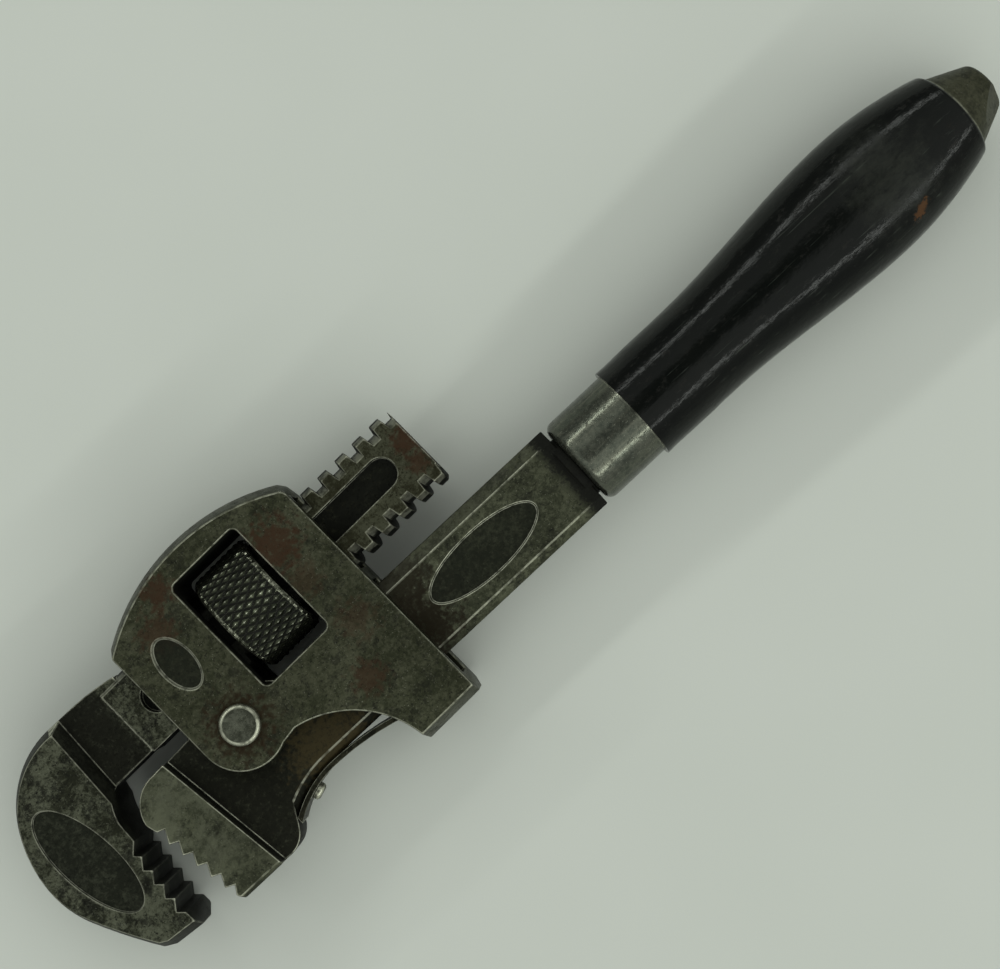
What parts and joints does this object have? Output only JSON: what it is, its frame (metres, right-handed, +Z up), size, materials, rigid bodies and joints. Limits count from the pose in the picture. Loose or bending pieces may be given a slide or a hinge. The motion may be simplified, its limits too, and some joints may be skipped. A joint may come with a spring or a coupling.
{
  "type": "pipe wrench",
  "caption": "Small adjustable pipe wrench: threaded hook jaw and knurled nut in a pivoting frame, toothed heel jaw on a bar, black wooden handle.",
  "frame": {"origin": "under the middle of the bounding box, on the surface that the wrench lies on", "axes": "+X along the handle towards the butt, +Y across it towards the hook jaw's shank, +Z up out of the face of the wrench"},
  "size_m": [0.1846, 0.0474, 0.0175],
  "materials": {
    "forged_steel": "dark worn forging, bright at the edges",
    "spring_steel": "dull blued leaf",
    "rivet_steel": "worn bright on the rim",
    "nut_steel": "knurled, worn bright on the points",
    "ferrule_steel": "drawn steel, pitted and worn bright",
    "black_wood": "gloss black paint over turned wood",
    "butt_steel": "dull grey-brown steel"
  },
  "bodies": {
    "bar": {"bar": "forged_steel", "heel_spring": "spring_steel", "spring_rivet": "rivet_steel", "front_spring": "spring_steel", "ferrule": "ferrule_steel", "handle": "black_wood", "butt_nut": "butt_steel"},
    "frame": {"frame": "forged_steel", "frame_pin": "rivet_steel"},
    "hook_jaw": {"hook_jaw": "forged_steel"},
    "adjusting_nut": {"adjusting_nut": "nut_steel"}
  },
  "joints": [
    {"name": "frame_pivot", "type": "hinge", "parent": "bar", "child": "frame", "pos_m": [-0.05361, -0.00316, 0.00875], "axis": [0, 0, 1], "range_deg": [-1.2, 2], "stiffness_Nm_per_rad": 3, "deforming": ["heel_spring", "front_spring"]},
    {"name": "hook_jaw_slide", "type": "slide", "parent": "frame", "child": "hook_jaw", "axis": [-0.9997, -0.0262, 0], "range_m": [-0.0022, 0.028]},
    {"name": "nut_spin", "type": "hinge", "parent": "frame", "child": "adjusting_nut", "pos_m": [-0.05392, 0.00843, 0.00875], "axis": [0.9997, 0.0262, 0], "range_deg": [-219, 2779]}
  ],
  "couplings": [
    {"joint": "nut_spin", "follows": "hook_jaw_slide", "rad_per_m": 1731.6}
  ]
}
